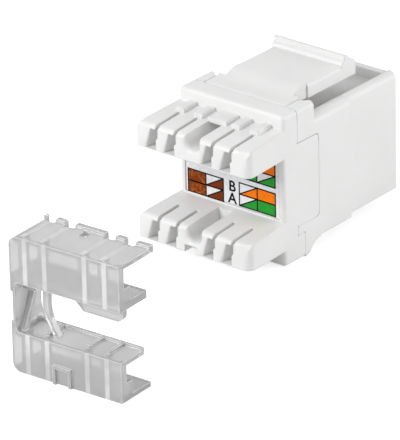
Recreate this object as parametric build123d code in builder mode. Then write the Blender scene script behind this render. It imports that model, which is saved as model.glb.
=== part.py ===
"""Keystone jack with two rows of punch-down towers and its clear dust cap, taken off.

X runs across the jack, +Y points out through the plug port and +Z points up to the latch.
The origin is the middle of the front face, and every size is in millimetres.
"""
import os
from math import cos, radians, sin

from build123d import *

os.makedirs("parts", exist_ok=True)

# Front part, which fills the opening of a wall plate
front_width = 14.7
front_height = 15.8
shoulder_setback = 9.8
rail_round = 1.1
under_round = 0.4
ledge_groove_width = 11.0
ledge_groove_length = 1.9
ledge_groove_depth = 0.9
ledge_groove_setback = 2.2

# Wide part behind the shoulder
body_width = 16.0
body_length = 22.9
shoulder_drop = 0.15
foot_drop = 1.75
foot_length = 3.9
ramp_length = 3.1
ramp_upper_pull = 1.9
ramp_lower_pull = 1.5
rear_block_length = 5.9
rear_block_rise = 2.1
block_round = 0.65
rear_edge_round = 0.5

# Joint between the front and the rear housing
seam_gap = 0.07
rear_plate = 2.6
tongue_length = 6.7
tongue_bottom = -5.15
tongue_top = 5.6
tongue_thickness = 1.2
tongue_round = 0.5
tongue_room = 0.2
foot_joint_height = 3.25
spigot_bottom = -6.3
spigot_top = 7.2

# Plug port and the room behind it
port_width = 11.8
port_top = 4.7
port_height = 6.9
tab_width = 6.3
tab_depth = 1.5
key_width = 3.5
key_depth = 1.5
port_length = 14.5
port_chamfer = 0.3
cavity_bottom = -7.2
carrier_room_top = 6.0
board_room_top = 7.35
fit = 0.1

# Recess under the latch, and the bay between the horns
recess_width = 12.8
recess_depth = 1.5
recess_wall = 0.5
front_band = 1.0
front_band_drop = 0.3
bay_floor = 8.3
horn_inner = 6.25
horn_tip_inner = 7.5
horn_step = 0.9

# Latch
latch_gap = 0.1
latch_root_width = 12.3
latch_root_thickness = 0.95
latch_root_length = 3.0
latch_neck_width = 10.4
latch_neck_end = 5.5
latch_width = 10.8
latch_rise = 0.8
latch_rise_start = 1.6
latch_thickness = 1.85
latch_setback = 5.45
latch_side_round = 0.5
lip_base = 2.2
lip_rise = 1.2
lip_flat = 0.4
lip_nose = 1.6
lip_fillet = 0.5

# Contact wires, their carrier and the circuit board
wire_pitch = 1.016
wire_width = 0.35
wire_thickness = 0.3
wire_root_z = 3.9
wire_straight = 2.65
wire_low_setback = 8.2
wire_low_z = 2.3
wire_tip_setback = 5.2
wire_tip_z = 4.0
wire_bend = 0.6
wire_count = 8
comb_groove = 0.6
comb_top = 5.9
comb_setback = 4.3
carrier_length = 2.35
carrier_groove = 0.55
board_thickness = 1.6
board_hole = 1.2

# Towers and their slots
tower_length = 7.0
tower_height = 3.75
tower_flare = 0.35
upper_tower_bottom = 4.45
lower_tower_bottom = -7.55
tower_slope = 0.45
tower_round = 0.7
tower_corner = 1.0
tower_floor = 0.15
slot_inner = 2.85
slot_outer = 5.65
slit_width = 0.5
upper_slit_root = 2.6
lower_slit_root = 3.0
entry_height = 2.6
entry_radius = 4.0
entry_low_width = 1.95
entry_low_depth = 2.8
entry_high_width = 1.05
entry_high_depth = 1.9
sill_height = 1.1
sill_reach = 0.42
sill_length = 1.2
tooth_count = 4
tooth_height = 0.4
tooth_depth = 0.15
channel_width = 2.1
channel_x = -0.2
channel_floor = 1.0
channel_rise = 0.5
channel_round = 1.0
upper_channel_end = 0.5
lower_channel_end = 1.0
boss_width = 1.3
boss_rise = 0.45
boss_round = 0.25
lintel_width = 2.9
lintel_length = 2.5
lintel_rise = 0.35
lintel_thickness = 0.7
catch_notch_width = 1.8
catch_notch_height = 0.95
catch_notch_depth = 1.4
catch_notch_x = -0.8

# Insulation-displacement blades
blade_thickness = 0.4
blade_width = 2.2
blade_neck = 1.3
blade_tail = 0.6
blade_height = 1.8
blade_reach = 4.3
blade_slit = 0.3
blade_slit_length = 2.3
blade_mouth = 0.9
blade_fork_length = 4.2
blade_room = 0.05

# Wiring label
label_thickness = 0.2
label_recess = 0.3
label_width = 14.2
label_bottom = -3.5
label_top = 4.2
label_room = 0.1

# Dust cap
cap_wall = 0.6
cap_room = 0.08
cap_slot_inset = 1.6
cap_end_room = 0.35
cap_depth = 6.6
cap_upper_floor_depth = 5.15
cap_lower_top_depth = 4.4
cap_lower_floor_depth = 5.5
cap_under_wall = 1.0
cap_under_room = 0.35
cap_corner = 1.2
cap_notch_width = 1.5
cap_notch_depth = 1.1
cap_lip_rise = 0.3
cap_lip_depth = 0.7
cap_rim_rise = 0.3
cap_rim_depth = 0.4
cap_rib_width = 0.75
cap_rib_depth = 0.5
cap_stuffer_width = 0.36
cap_stuffer_depth = 0.7
cap_post_width = 0.8
cap_post_depth = 1.0
cap_tab_width = 0.5
cap_tab_depth = 1.1
cap_tab_height = 1.7
cap_window_width = 1.0
cap_window_depth = 1.3
cap_window_setback = 0.9
cap_side_inset = 0.3
cap_arch_depth = 1.1
cap_stay_reach = 3.6
cap_stay_width = 0.8
cap_stay_thickness = 0.9
cap_web_drop = 1.2
cap_web_round = 0.95
cap_web_setback = 1.4
cap_web_thickness = 0.8
cap_web_arch = 2.5
cap_web_arch_x = 4.6
cap_frame_width = 2.6
cap_frame_height = 2.4
cap_frame_bar = 0.4
cap_frame_proud = 0.3

# Where the dust cap stands: its left rear corner behind the towers, and its turn
cap_behind_towers = 33.1
cap_aside = -0.1
cap_turn = 3.2

# Places that follow from the sizes above
face_top = front_height / 2
face_bottom = -front_height / 2
wide_bottom = face_bottom - shoulder_drop
cavity_width = body_width - 2 * (tongue_thickness + tongue_room)
foot_bottom = face_bottom - foot_drop
block_top = face_top + rear_block_rise
rear_face = -body_length
plate_face = rear_face + rear_plate
shell_end = plate_face + seam_gap
foot_front = rear_face + foot_length
foot_joint_top = foot_bottom + foot_joint_height
block_front = rear_face + rear_block_length
tongue_front = rear_face + tongue_length
port_bottom = port_top - port_height
carrier_front = -port_length - fit
board_front = carrier_front - carrier_length - fit
board_rear = board_front - board_thickness
spigot_front = board_rear - fit
tower_tip = rear_face - tower_length
slot_places = [-slot_outer, -slot_inner, slot_inner, slot_outer]
blade_heights = [upper_tower_bottom + blade_height, lower_tower_bottom + blade_height]
blade_places = [(x, z) for z in blade_heights for x in slot_places]
wire_places = [(i - (wire_count - 1) / 2) * wire_pitch for i in range(wire_count)]
wire_root_y = board_front + fit


def rectangle_between(left, right, low, high):
    """Rectangle in the open sketch, given by its four sides."""
    with Locations(((left + right) / 2, (low + high) / 2)):
        Rectangle(right - left, high - low)


# Front housing: the wide part, the part that fills the wall plate, the rear block and the ramp
with BuildPart() as front_housing:
    with BuildSketch(Plane.XZ) as front_outline:
        Rectangle(front_width, front_height)
        fillet(front_outline.vertices().group_by(Axis.Y)[-1], rail_round)
        fillet(front_outline.vertices().group_by(Axis.Y)[0], under_round)
    extrude(amount=shoulder_setback)

    with BuildSketch(Plane.XZ.offset(shoulder_setback)) as wide_outline:
        rectangle_between(-body_width / 2, body_width / 2, wide_bottom, face_top)
        fillet(wide_outline.vertices().group_by(Axis.Y)[-1], rail_round)
        fillet(wide_outline.vertices().group_by(Axis.Y)[0], under_round)
    extrude(amount=-shell_end - shoulder_setback)

    with BuildSketch(Plane.XZ.offset(-block_front)) as block_outline:
        rectangle_between(-body_width / 2, body_width / 2, 0, block_top)
        fillet(block_outline.vertices().group_by(Axis.Y)[-1], block_round)
    extrude(amount=block_front - shell_end)

    with BuildSketch(Plane.YZ):
        ramp_start = foot_front + ramp_length
        ramp_end = foot_front + seam_gap
        with BuildLine():
            Bezier(
                (ramp_start, wide_bottom),
                (ramp_start - ramp_upper_pull, wide_bottom),
                (ramp_end + ramp_lower_pull, foot_bottom),
                (ramp_end, foot_bottom),
            )
            Polyline(
                (ramp_end, foot_bottom),
                (ramp_end, wide_bottom + under_round),
                (ramp_start, wide_bottom + under_round),
                (ramp_start, wide_bottom),
            )
        make_face()
    extrude(amount=body_width / 2, both=True)

    # The foot of the rear housing takes the lower rear corner
    with BuildSketch(Plane.YZ):
        rectangle_between(rear_face, foot_front + seam_gap, foot_bottom - fit, foot_joint_top + seam_gap)
    extrude(amount=body_width, both=True, mode=Mode.SUBTRACT)

    # Recess below the latch, and the bay between the horns
    with BuildSketch(Plane.XY.offset(face_top - recess_depth)):
        rectangle_between(-recess_width / 2, recess_width / 2, board_front + recess_wall, -front_band)
    extrude(amount=rear_block_rise + recess_depth, mode=Mode.SUBTRACT)
    with BuildSketch(Plane.XY.offset(face_top - front_band_drop)):
        rectangle_between(-recess_width / 2, recess_width / 2, -front_band - fit, fit)
    extrude(amount=front_band_drop + fit, mode=Mode.SUBTRACT)
    with BuildSketch(Plane.XY.offset(bay_floor)):
        with BuildLine():
            Polyline(
                (-horn_inner, shell_end - fit),
                (horn_inner, shell_end - fit),
                (horn_inner, block_front - horn_step),
                (horn_tip_inner, block_front + fit),
                (-horn_tip_inner, block_front + fit),
                (-horn_inner, block_front - horn_step),
                close=True,
            )
        make_face()
    extrude(amount=block_top - bay_floor + fit, mode=Mode.SUBTRACT)

    # Plug port with its two steps for the plug's tab
    with BuildSketch(Plane.XZ):
        rectangle_between(-port_width / 2, port_width / 2, port_bottom, port_top)
        rectangle_between(-tab_width / 2, tab_width / 2, port_bottom - tab_depth, port_bottom)
        key_bottom = port_bottom - tab_depth - key_depth
        rectangle_between(-key_width / 2, key_width / 2, key_bottom, port_bottom - tab_depth)
    extrude(amount=-carrier_front, mode=Mode.SUBTRACT)
    rim = front_housing.edges().filter_by_position(Axis.Y, -fit, fit)
    rim = rim.filter_by_position(Axis.X, -port_width / 2 - fit, port_width / 2 + fit)
    chamfer(rim.filter_by_position(Axis.Z, key_bottom - fit, port_top + fit), port_chamfer)

    # Comb of grooves in the port's roof, which the contact wires lift into
    with BuildSketch(Plane.XZ.offset(comb_setback)):
        for place in wire_places:
            rectangle_between(place - comb_groove / 2, place + comb_groove / 2, port_top - fit, comb_top)
    extrude(amount=-carrier_front - comb_setback, mode=Mode.SUBTRACT)

    # Room for the contact carrier and, behind it, for the circuit board and the spigot
    with BuildSketch(Plane.XZ.offset(-carrier_front - fit)):
        rectangle_between(-cavity_width / 2, cavity_width / 2, cavity_bottom, carrier_room_top)
    extrude(amount=carrier_length + 2 * fit, mode=Mode.SUBTRACT)
    with BuildSketch(Plane.XZ.offset(-board_front - fit)):
        rectangle_between(-cavity_width / 2, cavity_width / 2, cavity_bottom, board_room_top)
    extrude(amount=board_front - shell_end + 2 * fit, mode=Mode.SUBTRACT)

    # Side windows that the tongues of the rear housing fill
    with BuildSketch(Plane.YZ) as window_outline:
        window_front = tongue_front + seam_gap
        rectangle_between(shell_end - fit, window_front, tongue_bottom - seam_gap, tongue_top + seam_gap)
        fillet(window_outline.vertices().group_by(Axis.X)[-1], tongue_round + seam_gap)
    extrude(amount=body_width, both=True, mode=Mode.SUBTRACT)

    # Groove that hooks over the lower edge of the opening in the wall plate
    with BuildSketch(Plane.YZ):
        groove_front = -ledge_groove_setback
        groove_rear = groove_front - ledge_groove_length
        rectangle_between(groove_rear, groove_front, face_bottom - fit, face_bottom + ledge_groove_depth)
    extrude(amount=ledge_groove_width / 2, both=True, mode=Mode.SUBTRACT)

front_housing.part.label = "front_housing"
export_step(front_housing.part, "parts/front_housing.step")


def tower_row(bottom, slit_root, channel_end):
    """One row of six fingers with four punch-down slots and the channel for the cable's core."""
    top = bottom + tower_height
    floor = bottom + tower_floor
    half_tip = body_width / 2 + tower_flare
    root = (rear_face + plate_face) / 2
    with BuildPart() as row:
        with BuildSketch(Plane.YZ) as side_outline:
            with BuildLine():
                Polyline(
                    (root, bottom),
                    (tower_tip, bottom),
                    (tower_tip, top - tower_slope),
                    (rear_face, top),
                    (root, top),
                    close=True,
                )
            make_face()
            fillet(side_outline.vertices().group_by(Axis.X)[0].sort_by(Axis.Y)[-1], tower_round)
        extrude(amount=body_width, both=True)

        with BuildSketch(Plane.XY.offset(bottom - fit)) as plan_outline:
            with BuildLine():
                Polyline(
                    (-body_width / 2, root),
                    (-body_width / 2, rear_face),
                    (-half_tip, tower_tip),
                    (half_tip, tower_tip),
                    (body_width / 2, rear_face),
                    (body_width / 2, root),
                    close=True,
                )
            make_face()
            fillet(plan_outline.vertices().group_by(Axis.Y)[0], tower_corner)
        extrude(amount=tower_height + 2 * fit, mode=Mode.INTERSECT)

        # Slits, open at the top and at the tip
        with BuildSketch(Plane.XY.offset(floor)):
            for place in slot_places:
                left = place - slit_width / 2
                rectangle_between(left, left + slit_width, tower_tip - fit, rear_face - slit_root)
        extrude(amount=tower_height, mode=Mode.SUBTRACT)

        # Scooped entries on the left of each slit, wider and deeper at the floor
        scoop_levels = (
            (floor, entry_low_width, entry_low_depth),
            (floor + entry_height, entry_high_width, entry_high_depth),
        )
        for place in slot_places:
            for level, width, depth in scoop_levels:
                with BuildSketch(Plane.XY.offset(level)):
                    with BuildLine():
                        end = (place - slit_width / 2, tower_tip + depth)
                        RadiusArc((place - width, tower_tip), end, -entry_radius)
                        Polyline(
                            end,
                            (place, tower_tip + depth),
                            (place, tower_tip - fit),
                            (place - width, tower_tip - fit),
                            (place - width, tower_tip),
                        )
                    make_face()
            loft(mode=Mode.SUBTRACT)

        # Sill and teeth on the right of each slit, which hold the wire down
        for place in slot_places:
            right = place + slit_width / 2
            with BuildSketch(Plane.XZ.offset(-tower_tip - sill_length)):
                with BuildLine():
                    Polyline(
                        (right - sill_reach, bottom),
                        (right - sill_reach, floor + sill_height - sill_reach),
                        (right, floor + sill_height),
                        (right + fit, floor + sill_height),
                        (right + fit, bottom),
                        close=True,
                    )
                make_face()
                for tooth in range(tooth_count):
                    low = floor + sill_height + tooth * tooth_height
                    with BuildLine():
                        Polyline(
                            (right + fit, low),
                            (right, low),
                            (right - tooth_depth, low + tooth_height / 2),
                            (right, low + tooth_height),
                            (right + fit, low + tooth_height),
                            close=True,
                        )
                    make_face()
            extrude(amount=sill_length)

        # Channel in the middle for the wire pairs, with a floor that rises to the tip
        channel_ends = (
            (-rear_face + channel_end, channel_floor),
            (-tower_tip + fit, channel_floor + channel_rise),
        )
        for setback, rise in channel_ends:
            with BuildSketch(Plane.XZ.offset(setback)) as channel_outline:
                channel_left = channel_x - channel_width / 2
                channel_right = channel_left + channel_width
                rectangle_between(channel_left, channel_right, bottom + rise, top + tower_height)
                fillet(channel_outline.vertices().group_by(Axis.Y)[0], channel_round)
        loft(mode=Mode.SUBTRACT)
    return row.part


upper_row = tower_row(upper_tower_bottom, upper_slit_root, upper_channel_end)
lower_row = tower_row(lower_tower_bottom, lower_slit_root, lower_channel_end)

# Rear housing: the rear plate with its foot, the side tongues, the spigot and both tower rows
with BuildPart() as rear_housing:
    with BuildSketch(Plane.XZ.offset(-plate_face)) as plate_outline:
        rectangle_between(-body_width / 2, body_width / 2, foot_bottom, block_top)
        fillet(plate_outline.vertices().group_by(Axis.Y)[-1], block_round)
        fillet(plate_outline.vertices().group_by(Axis.Y)[0], under_round)
    extrude(amount=rear_plate)
    fillet(rear_housing.edges().group_by(Axis.Y)[0], rear_edge_round)

    with BuildSketch(Plane.XZ.offset(-foot_front)) as foot_outline:
        rectangle_between(-body_width / 2, body_width / 2, foot_bottom, foot_joint_top)
        fillet(foot_outline.vertices().group_by(Axis.Y)[0], under_round)
    extrude(amount=foot_length - rear_plate)

    # Tongues that close the side windows of the front housing
    for side_face in (Plane.YZ.offset(body_width / 2), Plane.YZ.offset(tongue_thickness - body_width / 2)):
        with BuildSketch(side_face) as tongue_outline:
            rectangle_between(plate_face - fit, tongue_front, tongue_bottom, tongue_top)
            fillet(tongue_outline.vertices().group_by(Axis.X)[-1], tongue_round)
        extrude(amount=-tongue_thickness)

    # Spigot behind the circuit board
    with BuildSketch(Plane.XZ.offset(-spigot_front)):
        rectangle_between(fit - cavity_width / 2, cavity_width / 2 - fit, spigot_bottom, spigot_top)
    extrude(amount=spigot_front - plate_face + fit)

    add(upper_row)
    add(lower_row)

    # Bosses above the slots of the upper row, and the lintel over its channel
    upper_top = upper_tower_bottom + tower_height
    with BuildSketch(Plane.XZ.offset(-rear_face - fit)) as boss_outline:
        for place in slot_places:
            boss_left = place - boss_width / 2
            boss_right = boss_left + boss_width
            rectangle_between(boss_left, boss_right, upper_top - tower_slope, upper_top + boss_rise)
        fillet(boss_outline.vertices().group_by(Axis.Y)[-1], boss_round)
    extrude(amount=upper_slit_root + fit)
    with BuildSketch(Plane.XZ.offset(-rear_face - fit)) as lintel_outline:
        lintel_top = upper_top + lintel_rise
        rectangle_between(-lintel_width / 2, lintel_width / 2, lintel_top - lintel_thickness, lintel_top)
        fillet(lintel_outline.vertices().group_by(Axis.Y)[-1], boss_round)
    extrude(amount=lintel_length + fit)

    # Notch below the lower row where the dust cap catches
    with BuildSketch(Plane.XZ.offset(-tower_tip - catch_notch_depth)):
        notch_left = catch_notch_x - catch_notch_width / 2
        notch_top = lower_tower_bottom + catch_notch_height
        rectangle_between(notch_left, notch_left + catch_notch_width, lower_tower_bottom - fit, notch_top)
    extrude(amount=catch_notch_depth + fit, mode=Mode.SUBTRACT)

    # Pocket for the wiring label
    with BuildSketch(Plane.XZ.offset(-rear_face - label_recess)):
        half_label = label_width / 2 + label_room
        rectangle_between(-half_label, half_label, label_bottom - label_room, label_top + label_room)
    extrude(amount=label_recess + fit, mode=Mode.SUBTRACT)

    # Pockets for the blades, open at the spigot
    with BuildSketch(Plane.XZ.offset(-spigot_front)):
        with Locations(blade_places):
            Rectangle(blade_width + 2 * blade_room, blade_thickness + 2 * blade_room)
    extrude(amount=spigot_front - rear_face + blade_reach + blade_room, mode=Mode.SUBTRACT)

rear_housing.part.label = "rear_housing"
export_step(rear_housing.part, "parts/rear_housing.step")

# Latch plate: root, rising plate and the lip that snaps behind the wall plate
latch_front = -latch_setback
latch_top = block_top + latch_rise
latch_under = latch_top - latch_thickness
latch_root_rear = plate_face + latch_gap
latch_root_front = plate_face + latch_root_length
latch_rise_rear = plate_face + latch_rise_start
latch_root_under = block_top - latch_root_thickness
latch_neck_front = plate_face + latch_neck_end
lip_rear = latch_front - lip_base
lip_top = latch_top + lip_rise
lip_nose_top = latch_under + lip_nose

with BuildPart() as latch_plate:
    arc_end = latch_root_rear + latch_root_thickness / 2
    with BuildSketch(Plane.YZ):
        with BuildLine():
            ThreePointArc(
                (arc_end, latch_root_under),
                (latch_root_rear, block_top - latch_root_thickness / 2),
                (arc_end, block_top),
            )
            Line((arc_end, block_top), (latch_rise_rear, block_top))
            rise_middle = (latch_rise_rear + latch_neck_front) / 2
            Bezier(
                (latch_rise_rear, block_top),
                (rise_middle, block_top),
                (rise_middle, latch_top),
                (latch_neck_front, latch_top),
            )
            Polyline(
                (latch_neck_front, latch_top),
                (latch_neck_front, latch_under),
                (latch_root_front, latch_under),
                (arc_end, latch_root_under),
            )
        make_face()
    extrude(amount=latch_root_width / 2, both=True)
    with BuildSketch(Plane.XY.offset(latch_under - fit)):
        rectangle_between(-latch_root_width / 2, latch_root_width / 2, latch_root_rear, latch_root_front)
        rectangle_between(-latch_neck_width / 2, latch_neck_width / 2, latch_root_front, latch_neck_front)
    extrude(amount=latch_thickness + 2 * fit, mode=Mode.INTERSECT)

    # Wide plate with rounded upper edges
    with BuildSketch(Plane.XZ.offset(-latch_neck_front)) as plate_section:
        rectangle_between(-latch_width / 2, latch_width / 2, latch_under, latch_top)
        fillet(plate_section.vertices().group_by(Axis.Y)[-1], latch_side_round)
    extrude(amount=latch_neck_front - latch_front)

    # Lip with a hollow rear corner and a wedge-shaped nose
    with BuildSketch(Plane.YZ):
        with BuildLine():
            RadiusArc((lip_rear - lip_fillet, latch_top), (lip_rear, latch_top + lip_fillet), lip_fillet)
            Polyline(
                (lip_rear, latch_top + lip_fillet),
                (lip_rear, lip_top),
                (lip_rear + lip_flat, lip_top),
                (latch_front, lip_nose_top),
                (latch_front, latch_top - latch_side_round),
                (lip_rear - lip_fillet, latch_top - latch_side_round),
                (lip_rear - lip_fillet, latch_top),
            )
        make_face()
    extrude(amount=latch_width / 2, both=True)

latch_plate.part.label = "latch_plate"
export_step(latch_plate.part, "parts/latch_plate.step")

# Wiring label in its pocket
with BuildPart() as wiring_label:
    with BuildSketch(Plane.XZ.offset(-rear_face - label_recess)):
        rectangle_between(-label_width / 2, label_width / 2, label_bottom, label_top)
    extrude(amount=label_thickness)

wiring_label.part.label = "wiring_label"
export_step(wiring_label.part, "parts/wiring_label.step")

# Circuit board with a hole for the tail of each blade
with BuildPart() as circuit_board:
    with BuildSketch(Plane.XZ.offset(-board_front)):
        half_board = cavity_width / 2 - fit
        rectangle_between(-half_board, half_board, cavity_bottom + fit, board_room_top - fit)
        with Locations(blade_places):
            Circle(board_hole / 2, mode=Mode.SUBTRACT)
    extrude(amount=board_thickness)

circuit_board.part.label = "circuit_board"
export_step(circuit_board.part, "parts/circuit_board.step")

# Contact carrier, the block behind the port that the wires lie in
with BuildPart() as contact_carrier:
    carrier_top = carrier_room_top - fit
    with BuildSketch(Plane.XZ.offset(-carrier_front)):
        rectangle_between(fit - cavity_width / 2, cavity_width / 2 - fit, cavity_bottom + fit, carrier_top)
    extrude(amount=carrier_length)
    with BuildSketch(Plane.XZ.offset(-carrier_front)):
        for place in wire_places:
            groove_floor = wire_root_z - wire_thickness / 2 - seam_gap
            half_groove = carrier_groove / 2
            rectangle_between(place - half_groove, place + half_groove, groove_floor, carrier_top + fit)
    extrude(amount=carrier_length, mode=Mode.SUBTRACT)
    with BuildSketch(Plane.XZ.offset(-carrier_front + carrier_length)):
        with Locations([place for place in blade_places if place[1] < wire_root_z]):
            Circle(board_hole / 2)
    extrude(amount=-carrier_length / 2, mode=Mode.SUBTRACT)

contact_carrier.part.label = "contact_carrier"
export_step(contact_carrier.part, "parts/contact_carrier.step")

# Contact wires, which reach from the board through the carrier and down into the port
for number, place in enumerate(wire_places, start=1):
    with BuildPart() as contact_wire:
        with BuildLine(Plane.YZ.offset(place)):
            FilletPolyline(
                (wire_root_y, wire_root_z),
                (wire_root_y + wire_straight, wire_root_z),
                (-wire_low_setback, wire_low_z),
                (-wire_tip_setback, wire_tip_z),
                radius=wire_bend,
            )
        with BuildSketch(Plane((place, wire_root_y, wire_root_z), x_dir=(1, 0, 0), z_dir=(0, 1, 0))):
            Rectangle(wire_width, wire_thickness)
        sweep()
    contact_wire.part.label = f"contact_wire_{number}"
    export_step(contact_wire.part, f"parts/contact_wire_{number}.step")

# Blades, each a flat fork that cuts through the wire's insulation, with a tail through the board
blade_tip = rear_face - blade_reach
blade_end = board_front - fit
for number, (place, height) in enumerate(blade_places, start=1):
    with BuildPart() as idc_blade:
        with BuildSketch(Plane.XY.offset(height - blade_thickness / 2)) as blade_outline:
            fork_end = blade_tip + blade_fork_length
            rectangle_between(place - blade_width / 2, place + blade_width / 2, blade_tip, fork_end)
            rectangle_between(place - blade_neck / 2, place + blade_neck / 2, blade_tip, spigot_front - fit)
            rectangle_between(place - blade_tail / 2, place + blade_tail / 2, blade_tip, blade_end)
            with Locations((place, blade_tip + blade_slit_length / 2)):
                Rectangle(blade_slit, blade_slit_length, mode=Mode.SUBTRACT)
            with BuildLine():
                Polyline(
                    (place - blade_mouth / 2, blade_tip),
                    (place + blade_mouth / 2, blade_tip),
                    (place, blade_tip + blade_mouth),
                    close=True,
                )
            make_face(mode=Mode.SUBTRACT)
        extrude(amount=blade_thickness)
    idc_blade.part.label = f"idc_blade_{number}"
    export_step(idc_blade.part, f"parts/idc_blade_{number}.step")

# Dust cap: two trays that slide over the tower rows, joined by the side wall
cap_turned = (cos(radians(cap_turn)), sin(radians(cap_turn)), 0)
cap_rear = (-sin(radians(cap_turn)), cos(radians(cap_turn)), 0)
cap_origin = Vector(cap_aside, tower_tip - cap_behind_towers, foot_bottom)
cap_floor = Plane(cap_origin, x_dir=cap_turned, z_dir=(0, 0, 1))
cap_back = Plane(cap_origin, x_dir=cap_turned, z_dir=(-cap_rear[0], -cap_rear[1], 0))
cap_side = Plane(cap_origin, x_dir=cap_rear, z_dir=cap_turned)

row_step = upper_tower_bottom - lower_tower_bottom
cap_middle = cap_slot_inset + slot_outer
cap_slots = [cap_middle + place for place in slot_places]
cap_length = cap_middle + body_width / 2 + cap_end_room
lower_tray_top = 2 * cap_wall + 2 * cap_room + tower_height
upper_tray_floor = cap_wall + cap_room + row_step - cap_under_room
upper_tray_bottom = upper_tray_floor - cap_under_wall
cap_height = lower_tray_top + row_step
cap_ceiling = cap_height - cap_wall
beyond = cap_length + fit

with BuildPart() as dust_cap:
    # Walls of both trays and the side wall, as one section drawn from behind
    with BuildSketch(cap_back.offset(-cap_depth)) as cap_section:
        rectangle_between(0, cap_length, 0, cap_height)
        fillet(cap_section.vertices().group_by(Axis.X)[0], cap_corner)
        with BuildSketch(mode=Mode.SUBTRACT) as tray_rooms:
            rectangle_between(cap_wall, beyond, cap_wall, lower_tray_top - cap_wall)
            rectangle_between(cap_wall, beyond, lower_tray_top, upper_tray_bottom)
            rectangle_between(cap_wall, beyond, upper_tray_floor, cap_ceiling)
            fillet(tray_rooms.vertices().group_by(Axis.X)[0], cap_wall)
    extrude(amount=cap_depth)

    # Back walls of the two trays
    with BuildSketch(cap_back.offset(-cap_wall)) as back_walls:
        rectangle_between(0, cap_length, 0, lower_tray_top)
        rectangle_between(0, cap_length, upper_tray_bottom, cap_height)
        fillet(back_walls.vertices().group_by(Axis.X)[0].sort_by(Axis.Y)[0], cap_corner)
        fillet(back_walls.vertices().group_by(Axis.X)[0].sort_by(Axis.Y)[-1], cap_corner)
    extrude(amount=cap_wall)

    # Openings in the side wall for the outer towers, and floors and a lower top that stop short of the front
    with BuildSketch(cap_side.offset(-fit)):
        rectangle_between(cap_wall, cap_depth + fit, cap_wall, lower_tray_top - cap_wall)
        rectangle_between(cap_wall, cap_depth + fit, upper_tray_floor, cap_ceiling)
    extrude(amount=cap_wall + 2 * fit, mode=Mode.SUBTRACT)
    for left, depth, low, high in (
        (-fit, cap_lower_floor_depth, 0, cap_wall),
        (cap_wall, cap_lower_top_depth, lower_tray_top - cap_wall, lower_tray_top),
        (cap_wall, cap_upper_floor_depth, upper_tray_bottom, upper_tray_floor),
    ):
        with BuildSketch(cap_floor.offset(low - fit)):
            rectangle_between(left, beyond, depth, cap_depth + fit)
        extrude(amount=high - low + 2 * fit, mode=Mode.SUBTRACT)

    # Posts at the open end of the back walls
    with BuildSketch(cap_floor):
        post_left = cap_length - cap_post_width
        rectangle_between(post_left, cap_length, 0, cap_post_depth)
    extrude(amount=lower_tray_top)
    with BuildSketch(cap_floor.offset(upper_tray_bottom)):
        rectangle_between(post_left, cap_length, 0, cap_post_depth)
    extrude(amount=cap_height - upper_tray_bottom)

    # Catch tabs on the floor of each tray
    for floor in (cap_wall, upper_tray_floor):
        with BuildSketch(cap_floor.offset(floor - fit)):
            tab_front = cap_post_depth + cap_tab_depth
            rectangle_between(cap_length - cap_tab_width, cap_length, cap_wall, tab_front)
        extrude(amount=cap_tab_height + fit)

    # Ribs that press each wire into its slot
    for floor, ceiling in ((cap_wall, lower_tray_top - cap_wall), (upper_tray_floor, cap_ceiling)):
        with BuildSketch(cap_floor.offset(floor - fit)):
            for place in cap_slots:
                half_rib = cap_rib_width / 2
                half_stuffer = cap_stuffer_width / 2
                rib_front = cap_wall + cap_rib_depth
                rectangle_between(place - half_rib, place + half_rib, cap_wall - fit, rib_front)
                stuffer_front = rib_front + cap_stuffer_depth
                rectangle_between(place - half_stuffer, place + half_stuffer, rib_front - fit, stuffer_front)
        extrude(amount=ceiling - floor + 2 * fit)

    # Lip along the front edge of the top, and the rim and ribs on the lower tray
    with BuildSketch(cap_floor.offset(cap_height - fit)):
        rectangle_between(cap_wall, cap_length, cap_depth - cap_lip_depth, cap_depth)
    extrude(amount=cap_lip_rise + fit)
    with BuildSketch(cap_floor.offset(lower_tray_top - fit)):
        rectangle_between(cap_wall, cap_length, cap_lower_top_depth - cap_rim_depth, cap_lower_top_depth)
        for place in cap_slots[1:]:
            rib_left = place - cap_rim_depth / 2
            rectangle_between(rib_left, rib_left + cap_rim_depth, cap_corner, cap_lower_top_depth)
    extrude(amount=cap_rim_rise + fit)

    # Notches over the bosses, and the window in the top
    with BuildSketch(cap_floor.offset(cap_ceiling - fit)):
        for place in cap_slots:
            notch_left = place - cap_notch_width / 2
            notch_right = notch_left + cap_notch_width
            rectangle_between(notch_left, notch_right, cap_depth - cap_notch_depth, cap_depth + fit)
        window_front = cap_depth - cap_window_setback
        window_left = cap_middle - cap_window_width / 2
        window_right = window_left + cap_window_width
        rectangle_between(window_left, window_right, window_front - cap_window_depth, window_front)
    extrude(amount=cap_wall + cap_lip_rise + 3 * fit, mode=Mode.SUBTRACT)

    # Side wall between the trays: set in a little, with an arched front edge
    with BuildSketch(cap_side.offset(-fit)):
        rectangle_between(-fit, cap_depth + fit, lower_tray_top + cap_corner, upper_tray_bottom - cap_corner)
    extrude(amount=cap_side_inset + fit, mode=Mode.SUBTRACT)
    with BuildSketch(cap_side.offset(-fit)):
        with BuildLine():
            ThreePointArc(
                (cap_lower_floor_depth, lower_tray_top),
                (cap_lower_floor_depth - cap_arch_depth / 2, (lower_tray_top + upper_tray_bottom) / 2),
                (cap_depth, upper_tray_bottom),
            )
            Polyline(
                (cap_depth, upper_tray_bottom),
                (cap_depth + fit, upper_tray_bottom),
                (cap_depth + fit, lower_tray_top),
                (cap_lower_floor_depth, lower_tray_top),
            )
        make_face()
    extrude(amount=2 * cap_wall, mode=Mode.SUBTRACT)

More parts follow.
